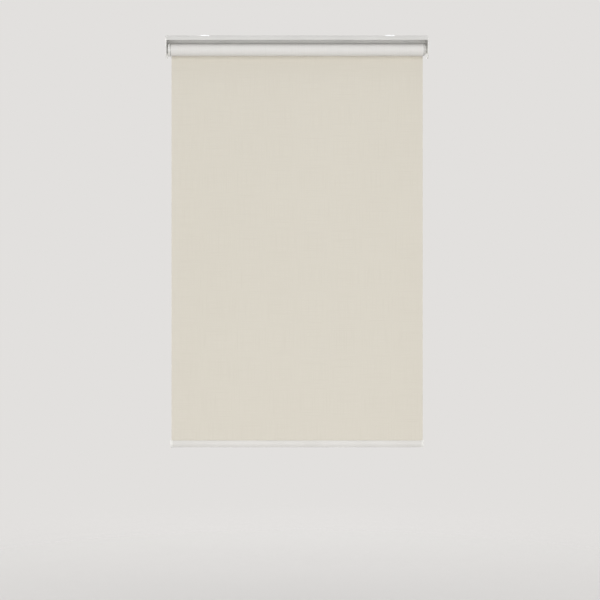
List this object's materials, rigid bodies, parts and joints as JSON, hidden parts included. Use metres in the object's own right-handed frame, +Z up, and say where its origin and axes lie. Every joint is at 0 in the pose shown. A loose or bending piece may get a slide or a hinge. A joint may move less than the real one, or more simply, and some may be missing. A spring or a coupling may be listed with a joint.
{
  "type": "roller shade",
  "caption": "Cordless roller shade for inside mounting: a headrail over a spring roller, an opaque cloth panel that falls from the back of the roll, and a crowned hem bar.",
  "frame": {"origin": "centre of the ceiling screws, on the plane where the mounting clips meet the ceiling", "axes": "+X along the roller to the right as seen from the room, +Y away from the room, +Z up"},
  "size_m": [0.91, 0.058, 1.4335],
  "materials": {
    "powder_coated_aluminium": "white satin powder coat over extruded aluminium",
    "bare_aluminium": "mill finish",
    "zinc_plated_steel": "bright zinc plate",
    "spring_steel": "oiled spring steel",
    "white_plastic": "moulded satin",
    "grey_plastic": "moulded satin",
    "strip_plastic": "extruded, slightly translucent",
    "fabric_back": "white coated back",
    "fabric_front": "beige plain weave"
  },
  "bodies": {
    "frame": {"headrail": "powder_coated_aluminium", "mounting_clip_left": "zinc_plated_steel", "mounting_clip_right": "zinc_plated_steel", "left_end_bracket": "white_plastic", "right_end_bracket": "white_plastic", "bracket_screws": "zinc_plated_steel", "motor_spindle": "grey_plastic", "retaining_clip": "spring_steel", "spring_rod": "zinc_plated_steel", "spring_anchor": "grey_plastic", "torsion_spring": "spring_steel"},
    "roller": {"roller_tube": "bare_aluminium", "tube_spline": "strip_plastic", "fabric_roll": "fabric_back", "drive_plug": "white_plastic", "idle_plug": "white_plastic", "rod_support": "grey_plastic", "spring_seat": "grey_plastic", "pin_spring": "spring_steel"},
    "hem": {"fabric_panel": "fabric_front", "hem_bar": "powder_coated_aluminium", "hem_spline": "strip_plastic", "hem_cap_left": "white_plastic", "hem_cap_right": "white_plastic"},
    "idle_pin": {"idle_pin": "zinc_plated_steel"}
  },
  "joints": [
    {"name": "roller_spin", "type": "hinge", "parent": "frame", "child": "roller", "pos_m": [0, 0, -0.0475], "axis": [1, 0, 0], "range_deg": [-515, 3530], "deforming": ["torsion_spring"]},
    {"name": "hem_travel", "type": "slide", "parent": "frame", "child": "hem", "axis": [0, 0, 1], "range_m": [-0.1931, 1.3205], "deforming": ["fabric_panel"]},
    {"name": "idle_pin_slide", "type": "slide", "parent": "roller", "child": "idle_pin", "axis": [-1, 0, 0], "range_m": [0, 0.006], "stiffness_N_per_m": 800, "springref_m": -0.004, "deforming": ["pin_spring"]}
  ],
  "couplings": [
    {"joint": "hem_travel", "follows": "roller_spin", "m_per_rad": 0.021425}
  ]
}
